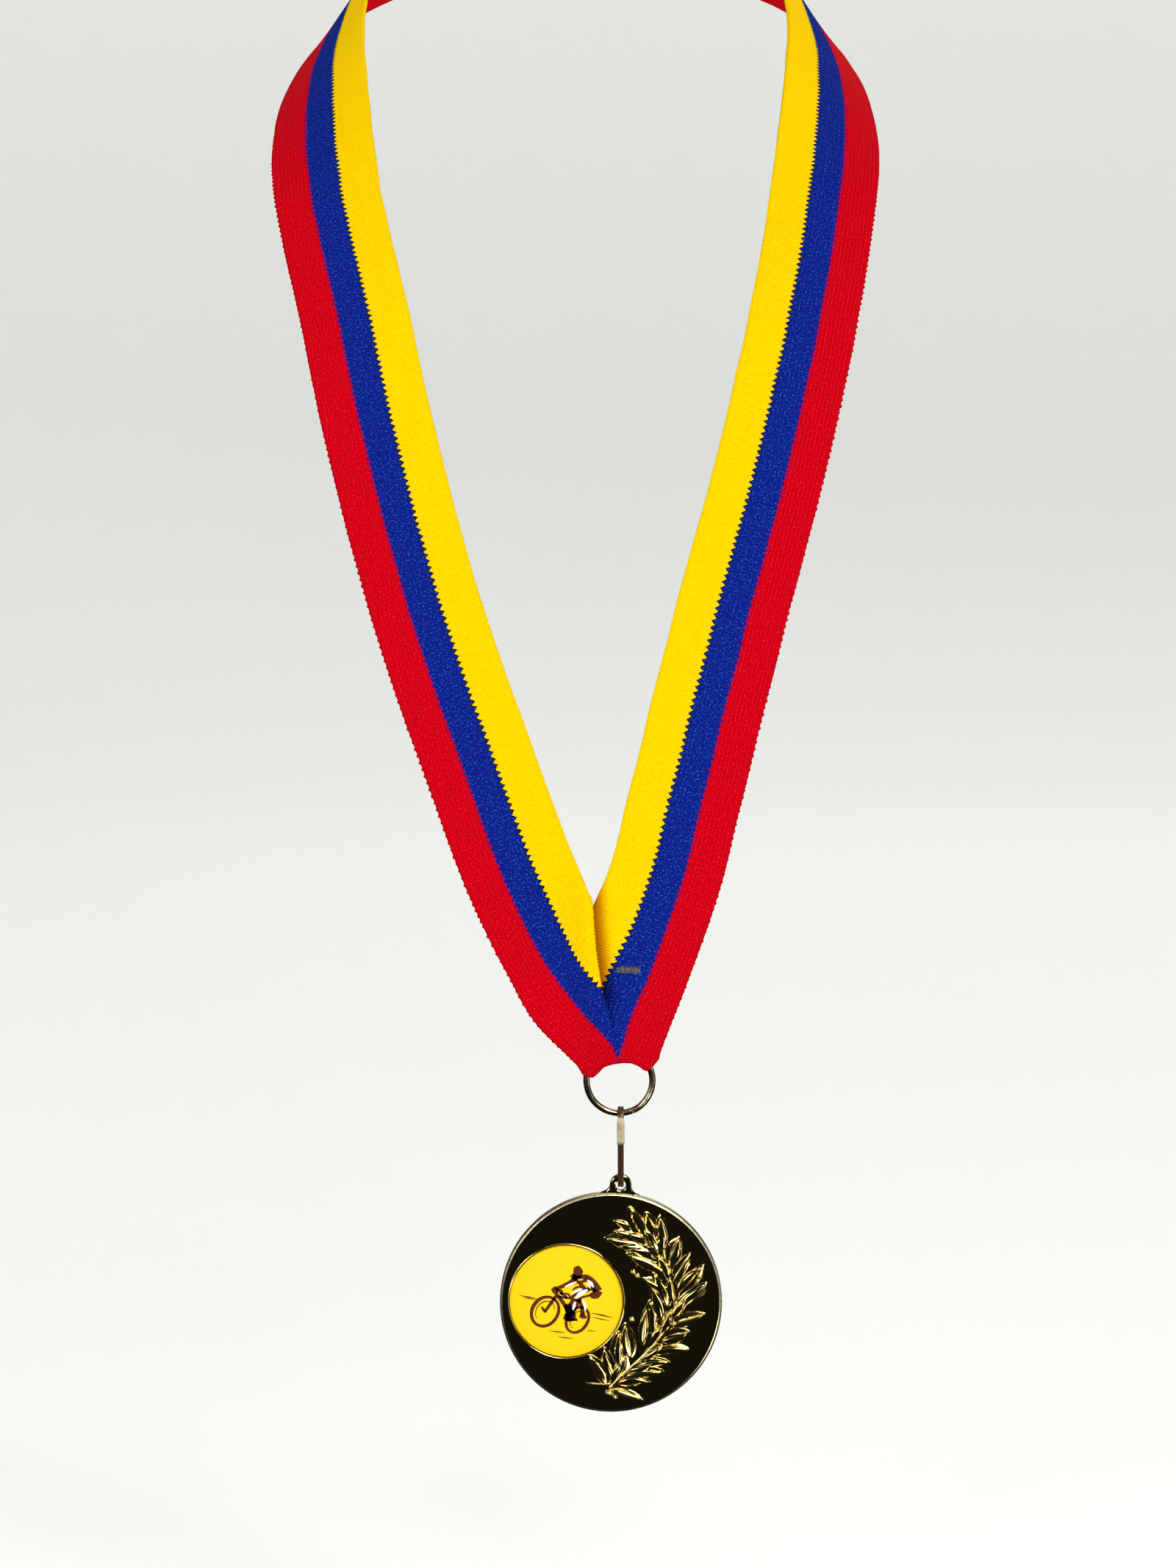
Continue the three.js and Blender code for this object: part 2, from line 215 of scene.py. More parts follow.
def ribbonMaterial():
    look = weaveLook
    n = Nodes("wovenRibbon")
    uv = n.tree.nodes.new("ShaderNodeUVMap")
    uv.uv_map = "cloth"
    split = n.add("ShaderNodeSeparateXYZ")
    n.put(split, 0, uv.outputs[0])
    u = n.math("MULTIPLY", split.outputs[0], 10.0)
    v = n.math("MULTIPLY", split.outputs[1], 10.0)
    fine = n.noise(uv.outputs[0], look["fineScale"], 3.0, 0.7)
    coarse = n.noise(uv.outputs[0], look["coarseScale"], 2.0)
    jitter = n.math("MULTIPLY", n.math("SUBTRACT", fine, 0.5), 0.9)
    wander = n.math("MULTIPLY", coarse, 0.5)
    phase = n.math("FRACT", n.math("ADD", n.math("DIVIDE", v, look["toothPitch"]), wander))
    tooth = n.math("MULTIPLY", n.math("ABSOLUTE", n.math("SUBTRACT", phase, 0.5)), 2.0)
    edge = n.math("MULTIPLY_ADD", tooth, look["toothDepth"], look["yellowTo"])
    edge = n.math("ADD", edge, jitter)
    overYellow = n.math("SUBTRACT", u, edge)
    isBlue = n.ramp(overYellow, -0.05, 0.08)
    inNotch = n.math("MULTIPLY", isBlue, n.ramp(overYellow, 0.25, 0.65, 1.0, 0.0))
    pinkPhase = n.math("FRACT", n.math("DIVIDE", v, look["pinkPitch"]))
    pinkTooth = n.math("MULTIPLY", n.math("ABSOLUTE", n.math("SUBTRACT", pinkPhase, 0.5)), 2.0)
    redEdge = n.math("MULTIPLY_ADD", pinkTooth, look["pinkDepth"], look["blueTo"])
    overBlue = n.math("SUBTRACT", u, n.math("ADD", redEdge, jitter))
    isRed = n.ramp(overBlue, -0.05, 0.05)
    pinkFrom = n.ramp(overBlue, -0.35, -0.05)
    pinkBand = n.math("MULTIPLY", pinkFrom, n.ramp(overBlue, 0.05, 0.4, 1.0, 0.0))
    # Loops of weft across the tape, and long wales that show on the blue and the red.
    turn = 2 * math.pi
    drift = n.math("MULTIPLY", coarse, 3.0)
    wave = n.math("SINE", n.math("MULTIPLY_ADD", v, turn / look["weftPitch"], drift))
    wales = n.math("SINE", n.math("MULTIPLY", u, turn / look["walePitch"]))
    sway = n.math("MULTIPLY", wave, 0.8)
    stitch = n.math("SINE", n.math("MULTIPLY_ADD", u, turn / look["stitchPitch"], sway))
    fleckNoise = n.noise(uv.outputs[0], look["fleckScale"], 2.0, 0.8)
    fleck = n.ramp(fleckNoise, 0.53, 0.7)
    dark = n.ramp(fine, 0.3, 0.5, 0.6, 0.0)
    blue = n.mix(n.math("MULTIPLY", fleck, 0.75), look["blue"], look["blueFleck"])
    red = n.mix(n.math("MULTIPLY", fleck, 0.6), look["red"], look["redFleck"])
    yellow = n.mix(n.math("MULTIPLY", dark, 0.45), look["yellow"], look["yellowDark"])
    colour = n.mix(isBlue, yellow, blue)
    colour = n.mix(n.math("MULTIPLY", inNotch, 0.85), colour, look["notch"])
    colour = n.mix(isRed, colour, red)
    colour = n.mix(n.math("MULTIPLY", pinkBand, 0.45), colour, look["pink"])
    speck = n.math("MULTIPLY", n.ramp(fine, 0.34, 0.47, 0.5, 0.0), isBlue)
    colour = n.mix(speck, colour, look["speck"])
    patchy = n.math("MULTIPLY_ADD", n.ramp(fine, 0.35, 0.65), 0.6, 0.4)
    # Painted shade: the hollows between the wales and between the weft ridges, the low parts of the
    # bump, are darkened in the colour.
    grooveShadeDepth = n.math("MULTIPLY_ADD", isBlue, 0.24, 0.06)
    grooveShade = n.math("MULTIPLY", n.ramp(wales, -0.1, -1.0), grooveShadeDepth)
    grooveShade = n.math("MULTIPLY", grooveShade, patchy)
    grooveShadeTone = n.mix(isBlue, look["yellowGrooveShade"], look["darkGrooveShade"])
    colour = n.mix(grooveShade, colour, grooveShadeTone)
    weft = n.math("MULTIPLY", n.ramp(wave, 0.1, -0.9), n.math("MULTIPLY_ADD", isBlue, -0.12, 0.26))
    weftShadeTone = n.mix(isBlue, look["yellowWeftShade"], look["darkWeftShade"])
    colour = n.mix(n.math("MULTIPLY", weft, patchy), colour, weftShadeTone)
    # Painted shade: beside the seam the right strap's colour is multiplied by a darker orange, by
    # the attribute that drape gives.
    inValleyShade = n.tree.nodes.new("ShaderNodeAttribute")
    inValleyShade.attribute_name = "valleyShade"
    shaded = n.tree.nodes.new("ShaderNodeMix")
    shaded.data_type = "RGBA"
    shaded.blend_type = "MULTIPLY"
    n.put(shaded, 0, inValleyShade.outputs["Fac"])
    n.put(shaded, 6, colour)
    n.put(shaded, 7, look["valleyShadeTint"])
    colour = shaded.outputs[2]
    n.set(Base_Color=colour, Roughness=0.9)
    n.put(n.shader, "Specular IOR Level", 0.02)
    height = n.math("MULTIPLY", wave, 0.3)
    height = n.math("MULTIPLY_ADD", n.math("MULTIPLY", wales, isBlue), 0.45, height)
    height = n.math("MULTIPLY_ADD", stitch, 0.2, height)
    height = n.math("MULTIPLY_ADD", fine, 1.1, height)
    n.bump(height, 1.0, look["bumpDepth"])
    return n.material


ribbonSet = dict(
    width=25.0, thickness=0.9, columns=34, rowLow=0.5, rowHigh=1.6, foldRadius=1.55,
    seamFoot=(-0.7, 6.1), seamLean=8.9, seamTop=50, lapLeft=0.45, lapRight=-2.4, seamDip=1.2,
    seamBow=1.5, bulge=1.9, tabTop=-247.6, tabFront=-178.9, tabHalf=12.5, tabSpan=(-275, -240.5),
    redFrom=17.7,
)
# Stations up the ribbon: the middle of the tape, and the direction from its yellow to its red edge.
neckStations = [
    ((-58.3, -113, -77), (-0.96, -0.1, -0.2)),
    ((-61.3, -84, -54), (-0.84, 0, -0.54)),
    ((-60.3, -55, -36.5), (-0.68, 0.14, -0.72)),
    ((-51.5, -27.5, -18), (-0.42, 0.3, -0.85)),
    ((-30, -7.5, -5), (-0.2, 0.36, -0.9)),
]
leftStations = [
    ((15.5, -181.5, -305), (-1, 0, 0)),
    ((15.5, -181.5, -286), (-1, 0, 0)),
    ((15.2, -181.5, -276.5), (-0.99, 0, -0.1)),
    ((12, -181.5, -267.5), (-0.72, 0, -0.69)),
    ((-2.6, -181.1, -249.3), (-0.87, 0, -0.5)),
    ((-12, -178.6, -231), (-0.92, -0.04, -0.39)),
    ((-19.4, -175.5, -211.7), (-0.94, -0.05, -0.35)),
    ((-32.9, -167, -173.7), (-0.96, -0.09, -0.26)),
    ((-44, -151.8, -135), (-0.97, -0.11, -0.22)),
    ((-51.1, -135.5, -105), (-0.98, -0.12, -0.16)),
]
napeStation = ((0, 0.45, 0), (0, 0.4, -0.92))
rightStations = [
    ((52.9, -135.5, -105), (0.98, -0.12, -0.16)),
    ((45.8, -151.8, -135), (0.97, -0.11, -0.22)),
    ((35, -167, -173.7), (0.96, -0.09, -0.26)),
    ((24.9, -175.5, -213), (0.97, -0.04, -0.25)),
    ((20.1, -178.6, -231.7), (0.945, 0, -0.33)),
    ((13.2, -181.1, -251), (0.935, 0, -0.355)),
    ((6.3, -181.5, -269.3), (0.93, 0, -0.365)),
    ((4.7, -181.5, -276.5), (0.99, 0, -0.08)),
    ((4.55, -181.5, -286), (1, 0, 0)),
    ((4.55, -181.5, -305), (1, 0, 0)),
]
# Lower edge of the fold, from its left corner to its right one, measured from the ring's centre.
foldEdge = [
    (-9, 1.6), (-7, 0.7), (-6, 0.55), (-5, 1.5), (-3.7, 2.9), (-1.5, 3.6), (1, 3.9),
    (2.8, 3.8), (4.6, 3.1), (5.6, 2.2), (6.4, 2.0), (7.4, 3.1), (8.6, 4.6),
]


def foldBottom(x):
    for (xa, za), (xb, zb) in zip(foldEdge, foldEdge[1:]):
        if x <= xb:
            share = min(max((x - xa) / (xb - xa), 0.0), 1.0)
            return za + (zb - za) * share
    return foldEdge[-1][1]


def mirrored(station):
    (x, y, z), (a, b, c) = station
    return ((-x, y, z), (-a, b, c))


def ribbonFrames():
    stations = [*leftStations, *neckStations, napeStation]
    stations += [mirrored(s) for s in reversed(neckStations)]
    stations += rightStations
    route = catmullRom([Vector(s[0]) for s in stations], 24)
    across = catmullRom([Vector(s[1]) for s in stations], 24)
    # Even steps, short ones near the ring.
    rows = []
    travelled = 0.0
    last = route[0]
    due = 0.0
    for i, point in enumerate(route):
        if i:
            start, stretch = travelled, (point - last).length
            while due <= start + stretch and stretch > 1e-9:
                share = (due - start) / stretch
                here = last.lerp(point, share)
                out = across[i - 1].lerp(across[i], share)
                along = (point - last).normalized()
                rows.append((here, along, out, due))
                near = smoothStep(here.z, -255, -225)
                due += ribbonSet["rowLow"] + (ribbonSet["rowHigh"] - ribbonSet["rowLow"]) * near
            travelled += stretch
        last = point
    return rows


def foldOver(point):
    # Turns what hangs below the fold's edge round the ring's wire and up behind.
    rel = point - ringMiddle
    s = ribbonSet
    radius = s["foldRadius"]
    turnZ = foldBottom(rel.x) + radius + s["thickness"] / 2
    down = turnZ - rel.z
    if down <= 0:
        return point
    angle = min(down / radius, math.pi)
    frontY = rel.y
    rest = max(down - math.pi * radius, 0.0)
    z = turnZ - radius * math.sin(angle) + rest
    y = (frontY + radius) - radius * math.cos(angle)
    y += 0.5 * smoothStep(rest, 0, 9) + 1.2 * smoothStep(rest, 12, 27)
    gather = 1.0 + 0.1 * smoothStep(rest, 4, 18)
    return Vector((rel.x * gather, y, z)) + ringMiddle


def seamFrame():
    s = ribbonSet
    lean = math.radians(s["seamLean"])
    foot = ringMiddle + Vector((s["seamFoot"][0], 0, s["seamFoot"][1]))
    upSeam = Vector((-math.sin(lean), 0, math.cos(lean)))
    rightOfSeam = Vector((math.cos(lean), 0, math.sin(lean)))
    return foot, upSeam, rightOfSeam


def drape(point, isLeft):
    # Turns both straps in at the seam, bows the seam, and takes the cloth round the ring. It also
    # gives the share of painted shade on the right strap beside the seam.
    s = ribbonSet
    foot, upSeam, rightOfSeam = seamFrame()
    away = (point - foot).dot(rightOfSeam)
    height = (point - foot).dot(upSeam)
    if height > s["seamTop"] or point.y > -150:
        return point, 0.0
    fade = (1 - smoothStep(height, 34, 48)) * smoothStep(height, 3.5, 10)
    if isLeft:
        inside = s["lapLeft"] - away
        dip = 0.5 * (1 - smoothStep(inside, 0, 1.0)) - 0.55 * (1 - smoothStep(inside, 0.8, 7.0))
    else:
        dip = s["seamDip"] * (1 - smoothStep(away, 0, 4.8))
    moved = point + Vector((0, dip * fade, 0))
    if away < 0 and not isLeft:
        # What lies under the left strap is narrow at the foot and wide above.
        moved -= rightOfSeam * (away * (0.85 - 0.85 * smoothStep(height, 5, 12)))
    bow = smoothStep(height, 2, 15) * (1 - smoothStep(height, 20, 44))
    moved.x -= s["seamBow"] * bow * (1 - smoothStep(abs(away), 1, 10))
    if isLeft:
        low = smoothStep(point.z, -279, -271) * (1 - smoothStep(point.z, -266, -252))
        moved.x -= s["bulge"] * low * smoothStep(-away, 5, 15)
    # Painted shade on the right strap beside the seam, fading away from the seam, up the seam and
    # at its foot.
    shade = (1 - smoothStep(height, 34, 46)) * smoothStep(height, 8, 15)
    shade *= 0.0 if isLeft else 1 - smoothStep(away, 1.2, 4.6)
    return foldOver(moved), shade


def buildRibbon(material):
    s = ribbonSet
    rows = ribbonFrames()
    bm = bmesh.new()
    uvLayer = bm.loops.layers.uv.new("cloth")
    sideLayer = bm.faces.layers.int.new("onLeft")
    # Each vertex keeps its share of painted shade beside the seam.
    valleyShade = bm.verts.layers.float.new("valleyShade")
    cols = s["columns"]
    grid = bmesh.ops.create_grid(bm, x_segments=cols, y_segments=len(rows) - 1, size=0.5)["verts"]
    total = rows[-1][3]
    where = {}
    for vert in grid:
        i = round((vert.co.y + 0.5) * (len(rows) - 1))
        u = vert.co.x + 0.5
        here, along, out, dist = rows[i]
        outer = along.cross(out).normalized()
        acrossDir = outer.cross(along)
        ripple = 0.22 * noise.noise(Vector((u * 2.2, dist * 0.045, 3.1)))
        ripple += 0.1 * noise.noise(Vector((u * 5, dist * 0.12, 8.7)))
        edgeWave = 0.18 * noise.noise(Vector((u * 0.5, dist * 0.09, 5.5)))
        vert.co = here + acrossDir * ((u - 0.5) * s["width"] + edgeWave) + outer * ripple
        where[vert] = (u * s["width"], dist)
    for face in bm.faces:
        for loop in face.loops:
            u, v = where[loop.vert]
            if loop.vert.co.z < ringMiddle.z and loop.vert.co.y < -150:
                u = max(u, s["redFrom"])
            loop[uvLayer].uv = (u / 10, v / 10)
    # The seam: each side is cut along the mitre, and the left one laps over the right.
    foot, _, rightOfSeam = seamFrame()
    leftFaces, rightFaces = [], []
    for face in bm.faces:
        mid = sum((where[v][1] for v in face.verts), 0.0) / len(face.verts)
        (leftFaces if mid < total / 2 else rightFaces).append(face)
    for face in leftFaces:
        face[sideLayer] = 1
    for faces, side in ((leftFaces, -1), (rightFaces, 1)):
        low = [f for f in faces if f.is_valid and f.calc_center_median().z < -215]
        geom = set(low)
        for f in low:
            geom.update(f.verts)
            geom.update(f.edges)
        plane = foot + rightOfSeam * (s["lapLeft"] if side < 0 else s["lapRight"])
        bmesh.ops.bisect_plane(
            bm, geom=list(geom), dist=1e-5, plane_co=plane, plane_no=rightOfSeam * -side,
            clear_outer=True,
        )
    onLeft = {v for f in bm.faces if f[sideLayer] for v in f.verts}
    for vert in bm.verts:
        vert.co, vert[valleyShade] = drape(vert.co, vert in onLeft)
    # Behind the fold both tape ends are cut off square.
    tab = []
    for f in bm.faces:
        middle = f.calc_center_median()
        beside = abs(middle.x - ringMiddle.x) < s["tabHalf"]
        onHeight = s["tabSpan"][0] < middle.z < s["tabSpan"][1]
        if beside and onHeight and middle.y > s["tabFront"]:
            tab.append(f)
    geom = set(tab)
    for f in tab:
        geom.update(f.verts)
        geom.update(f.edges)
    bmesh.ops.bisect_plane(
        bm, geom=list(geom), dist=1e-5, plane_co=(0, 0, s["tabTop"]), plane_no=(0, 0, 1),
        clear_outer=True,
    )
    bmesh.ops.scale(bm, vec=(mm, mm, mm), verts=bm.verts)
    piece = makePiece("ribbon", bm, material)
    solid = piece.modifiers.new("cloth", "SOLIDIFY")
    solid.thickness = s["thickness"] * mm
    solid.offset = 0
    return piece


loopSet = dict(pitch=1.12, out=0.36, along=0.4, through=0.34, lowest=-273.0, seed=5)


def buildLoops(rows, material):
    # Small loops of weft that stand out along the red edge.
    s = loopSet
    dice = random.Random(s["seed"])
    bm = bmesh.new()
    due = 0.0
    spots = []
    for here, along, out, dist in rows:
        if dist < due:
            continue
        due = dist + s["pitch"] * dice.uniform(0.88, 1.12)
        outer = along.cross(out).normalized()
        across = outer.cross(along)
        edge = here + across * (ribbonSet["width"] / 2 - 0.1)
        if here.y < -150 and edge.z < s["lowest"]:
            continue
        edge = drape(edge, edge.x < here.x)[0]
        bead = bmesh.new()
        size = dice.uniform(0.8, 1.15)
        bmesh.ops.create_uvsphere(bead, u_segments=8, v_segments=5, radius=size)
        for vert in bead.verts:
            x, y, z = vert.co
            aside = across * (x * s["out"]) + along * (y * s["along"])
            vert.co = edge + aside + outer * (z * s["through"])
        addCopy(bm, bead)
        spots.append(dist)
    uvLayer = bm.loops.layers.uv.new("cloth")
    perLoop = len(bm.faces) // len(spots)
    for k, face in enumerate(bm.faces):
        for loop in face.loops:
            loop[uvLayer].uv = ((ribbonSet["width"] - 0.3) / 10, spots[k // perLoop] / 10)
    bmesh.ops.scale(bm, vec=(mm, mm, mm), verts=bm.verts)
    return makePiece("selvedgeLoops", bm, material)


ribbonCloth = ribbonMaterial()
ribbon = buildRibbon(ribbonCloth)
selvedge = buildLoops(ribbonFrames(), ribbonCloth)
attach(selvedge, "ribbon")
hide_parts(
    "ribbon_left_strap", "ribbon_right_strap", "ribbon_neck_band", "ribbon_fold",
    "ribbon_back_tab",
)
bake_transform(ribbon)
print("ribbon", len(ribbon.data.polygons))


metalLook = dict(
    gilt=(0.95, 0.76, 0.28, 1), giltWorn=(0.8, 0.68, 0.36, 1),
    rim=(0.9, 0.8, 0.52, 1), rimPit=(0.3, 0.24, 0.12, 1),
    wire=(0.8, 0.68, 0.42, 1), wireDark=(0.2, 0.15, 0.08, 1),
    clipPale=(0.95, 0.8, 0.54, 1), clipTarnishAndShade=(0.13, 0.065, 0.035, 1),
)


def giltMaterial(name, polish, bumpDepth, rimFrom=None):
    # With rimFrom, all beyond that radius from the medal's middle is scuffed and satin.
    n = Nodes(name)
    place = n.place()
    blotch = n.noise(place, 240.0, 3.0)
    grain = n.noise(place, 2600.0, 2.0, 0.6)
    worn = n.math("MULTIPLY", n.ramp(blotch, 0.45, 0.75), 0.5)
    colour = n.mix(worn, metalLook["gilt"], metalLook["giltWorn"])
    rough = n.math("MULTIPLY_ADD", blotch, 0.06, polish)
    if rimFrom:
        middle = toMedal @ Vector((0, 0, 0))
        split = n.add("ShaderNodeSeparateXYZ")
        n.put(split, 0, place)
        dx = n.math("SUBTRACT", split.outputs[0], middle.x)
        dz = n.math("SUBTRACT", split.outputs[2], middle.z)
        squares = n.math("ADD", n.math("MULTIPLY", dx, dx), n.math("MULTIPLY", dz, dz))
        radius = n.math("SQRT", squares)
        onRim = n.ramp(radius, rimFrom, rimFrom + 0.0003)
        pits = n.ramp(n.noise(place, 1500.0, 3.0, 0.7), 0.5, 0.68)
        colour = n.mix(onRim, colour, n.mix(pits, metalLook["rim"], metalLook["rimPit"]))
        rough = n.math("MULTIPLY_ADD", onRim, 0.38, rough)
    n.set(Base_Color=colour, Metallic=1.0, Roughness=rough)
    n.bump(n.math("MULTIPLY_ADD", grain, 0.25, blotch), 0.25, bumpDepth)
    return n.material


def wireMaterial():
    n = Nodes("brassWire")
    place = n.place()
    stain = n.noise(place, 420.0, 3.0, 0.6)
    drawn = n.noise(place, 3000.0, 2.0)
    colour = n.mix(n.ramp(stain, 0.4, 0.68), metalLook["wire"], metalLook["wireDark"])
    n.set(Base_Color=colour, Metallic=1.0, Roughness=n.math("MULTIPLY_ADD", stain, 0.2, 0.12))
    n.bump(drawn, 0.3, 0.00003)
    return n.material


def clipMaterial():
    # The outer leg is bright and satin. Everything below the outer leg's end is darkened in colour
    # as painted shade, the bend at the top is darker too, and random stains darken patches.
    n = Nodes("clipBrass")
    place = n.place()
    split = n.add("ShaderNodeSeparateXYZ")
    n.put(split, 0, place)
    stain = n.noise(place, 500.0, 3.0, 0.6)
    height = n.math("MULTIPLY_ADD", stain, 0.0008, split.outputs[2])
    # Painted shade below the outer leg's end, and a darker bend at the top.
    below = n.ramp(height, -0.2912, -0.2904, 1.0, 0.0)
    below = n.math("MAXIMUM", below, n.ramp(height, -0.2850, -0.2842))
    tarnishAndShade = n.math("MAXIMUM", below, n.math("MULTIPLY", n.ramp(stain, 0.5, 0.75), 0.4))
    n.set(Base_Color=n.mix(tarnishAndShade, metalLook["clipPale"], metalLook["clipTarnishAndShade"]), Metallic=0.8)
    n.set(Roughness=n.math("MULTIPLY_ADD", stain, 0.15, n.ramp(below, 0.0, 1.0, 0.36, 0.22)))
    n.bump(n.noise(place, 3000.0, 2.0), 0.3, 0.00003)
    return n.material


wire = wireMaterial()

ringSet = dict(radius=7.4, wire=0.725, splitAt=-67.0, splitWidth=0.1, offset=0.3)


def buildRing(material):
    s = ringSet
    gap = s["splitWidth"] / s["radius"]
    start = math.radians(s["splitAt"]) + gap / 2
    turn = 2 * math.pi - gap
    path = []
    for i in range(121):
        angle = start + turn * i / 120
        twist = s["offset"] * (i / 120 - 0.5)
        wobble = 0.05 * noise.noise(Vector((math.cos(angle) * 2, math.sin(angle) * 2, 1)))
        r = s["radius"] + wobble
        path.append(Vector((r * math.cos(angle), twist, r * math.sin(angle))) * mm + ringCentre)
    bm = bmesh.new()
    sweep(bm, path, s["wire"] * mm, s["wire"] * mm, Vector((0, 1, 0)), around=16)
    return makePiece("jumpRing", bm, material)


jumpRing = buildRing(wire)
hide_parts("jump_ring")
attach(jumpRing, "ring")

clipSet = dict(
    x=0.3, half=0.675, coverHalf=0.85, thick=0.3, backY=1.6, frontY=-1.6, coverY=-2.4,
    topZ=-8.1, bottomZ=-22.24, coverEnd=-14.1, innerEnd=-11.0,
)


def arc(y, z, radius, fromAngle, toAngle, steps=12):
    points = []
    for i in range(steps + 1):
        angle = fromAngle + (toAngle - fromAngle) * i / steps
        points.append(Vector((0, y + radius * math.cos(angle), z + radius * math.sin(angle))))
    return points


def buildClip(material):
    s = clipSet
    topRadius = (s["backY"] - s["coverY"]) / 2
    bottomRadius = (s["backY"] - s["frontY"]) / 2
    outer = [
        Vector((0, s["coverY"], s["coverEnd"])),
        Vector((0, s["coverY"], s["coverEnd"] + 3)),
        *arc((s["backY"] + s["coverY"]) / 2, s["topZ"], topRadius, math.pi, 0),
        Vector((0, s["backY"], -12)),
        Vector((0, s["backY"], -16)),
        Vector((0, s["backY"], -19.5)),
        *arc(0, s["bottomZ"], bottomRadius, 0, -math.pi),
        Vector((0, s["frontY"], -18)),
        Vector((0, s["frontY"], -14)),
        Vector((0, s["frontY"], s["innerEnd"])),
    ]
    path = catmullRom(outer, 5)
    count = len(path) - 1
    path = [p * mm + ringCentre + Vector((s["x"] * mm, 0, 0)) for p in path]

    def widen(t):
        return s["coverHalf"] / s["half"] if t * count < 9 else 1.0

    bm = bmesh.new()
    sweep(
        bm, path, s["half"] * mm, s["thick"] * mm, Vector((1, 0, 0)), around=20,
        squareness=4.0, taper=widen,
    )
    return makePiece("stripClip", bm, material)


stripClip = buildClip(clipMaterial())
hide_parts("strip_clip")
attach(stripClip, "clip")
print("ring and clip")

medalSet = dict(
    radius=25.0, half=1.6, edge=0.7, lean=4.7, holeX=0.3, holeZ=-23.7, holeHeight=26.7,
    hub=2.45, lugHalf=0.95, holeRadius=1.15,
    seatX=-10.1, seatZ=-0.5, seatRadius=12.8, seatDepth=1.2,
)


def medalPlace():
    # From the medal's own frame, in millimetres with its lug up, to the row frame.
    s = medalSet
    lean = Matrix.Rotation(math.radians(s["lean"]), 4, "Y")
    hole = ringCentre + Vector((s["holeX"], 0, s["holeZ"])) * mm
    return Matrix.Translation(hole) @ lean @ Matrix.Scale(mm, 4) @ Matrix.Translation(
        Vector((0, 0, -s["holeHeight"]))
    )


toMedal = medalPlace()
gilt = giltMaterial("giltMetal", 0.03, 0.00001)
giltDisc = giltMaterial("giltDisc", 0.03, 0.00001, rimFrom=0.0243)
giltRelief = giltMaterial("giltRelief", 0.1, 0.00002)


def placeOnMedal(bm):
    bmesh.ops.transform(bm, matrix=toMedal, verts=bm.verts)


def buildDisc(material):
    s = medalSet
    r, half, e = s["radius"], s["half"], s["edge"]
    profile = [(0, half), (r - e - 0.15, half)]
    for i in range(7):
        a = math.pi / 2 * i / 6
        profile.append((r - e + e * math.sin(a), half - e + e * math.cos(a)))
    for i in range(7):
        a = math.pi / 2 * i / 6
        profile.append((r - e + e * math.cos(a), -half + e - e * math.sin(a)))
    profile += [(r - e - 0.15, -half), (0, -half)]
    bm = bmesh.new()
    lathe(bm, profile, 160)
    placeOnMedal(bm)
    disc = makePiece("medalDisc", bm, material)
    # The seat for the insert is a shallow round recess.
    floor = -half + s["seatDepth"]
    cutter = bmesh.new()
    recess = [(0, -3), (s["seatRadius"], -3), (s["seatRadius"], floor), (0, floor)]
    lathe(cutter, recess, 128, (s["seatX"], 0, s["seatZ"]))
    placeOnMedal(cutter)
    tool = makePiece("seatTool", cutter, material)
    cut = disc.modifiers.new("seat", "BOOLEAN")
    cut.object = tool
    cut.operation = "DIFFERENCE"
    cut.solver = "EXACT"
    settle(disc)
    disc.data.set_sharp_from_angle(angle=math.radians(28))
    bpy.data.objects.remove(tool)
    return disc


def settle(piece):
    # Keeps what the modifiers made as the mesh itself.
    view = bpy.context.evaluated_depsgraph_get()
    mesh = bpy.data.meshes.new_from_object(piece.evaluated_get(view))
    piece.modifiers.clear()
    piece.data = mesh


def buildSeatLip(material):
    s = medalSet
    y = -s["half"]
    r = s["seatRadius"]
    profile = [(r + 0.02, y + 0.5)]
    for i in range(13):
        a = math.pi * i / 12
        profile.append((r + 0.24 - 0.22 * math.cos(a), y + 0.03 - 0.2 * math.sin(a)))
    profile += [(r + 0.46, y + 0.5), (r + 0.02, y + 0.5)]
    bm = bmesh.new()
    lathe(bm, profile, 160, (s["seatX"], 0, s["seatZ"]))
    placeOnMedal(bm)
    return makePiece("seatLip", bm, material)


def buildLug(material):
    s = medalSet
    right = [(4.9, 23.4), (4.6, 24.5), (3.9, 24.85), (3.2, 25.2), (2.75, 25.7), (2.5, 26.2)]
    for i in range(13):
        a = math.radians(-5 + 95 * i / 12)
        right.append((s["hub"] * math.cos(a), s["holeHeight"] + s["hub"] * math.sin(a)))
    outline = right + [(-x, z) for x, z in reversed(right[:-1])]
    bm = bmesh.new()
    verts = [bm.verts.new((x, -s["lugHalf"], z)) for x, z in outline]
    face = bm.faces.new(verts)
    grown = bmesh.ops.extrude_face_region(bm, geom=[face])
    moved = [v for v in grown["geom"] if isinstance(v, bmesh.types.BMVert)]
    bmesh.ops.translate(bm, vec=(0, 2 * s["lugHalf"], 0), verts=moved)
    bmesh.ops.recalc_face_normals(bm, faces=bm.faces)
    placeOnMedal(bm)
    lug = makePiece("medalLug", bm, material, smooth=False)
    cutter = bmesh.new()
    drill = [(0, -3), (s["holeRadius"], -3), (s["holeRadius"], 3), (0, 3)]
    lathe(cutter, drill, 48, (0, 0, s["holeHeight"]))
    placeOnMedal(cutter)
    tool = makePiece("holeTool", cutter, material)
    cut = lug.modifiers.new("hole", "BOOLEAN")
    cut.object = tool
    cut.solver = "EXACT"
    bevel = lug.modifiers.new("edge", "BEVEL")
    bevel.width = 0.28 * mm
    bevel.segments = 3
    bevel.limit_method = "ANGLE"
    bevel.angle_limit = math.radians(40)
    settle(lug)
    bpy.data.objects.remove(tool)
    lug.data.shade_smooth()
    return lug


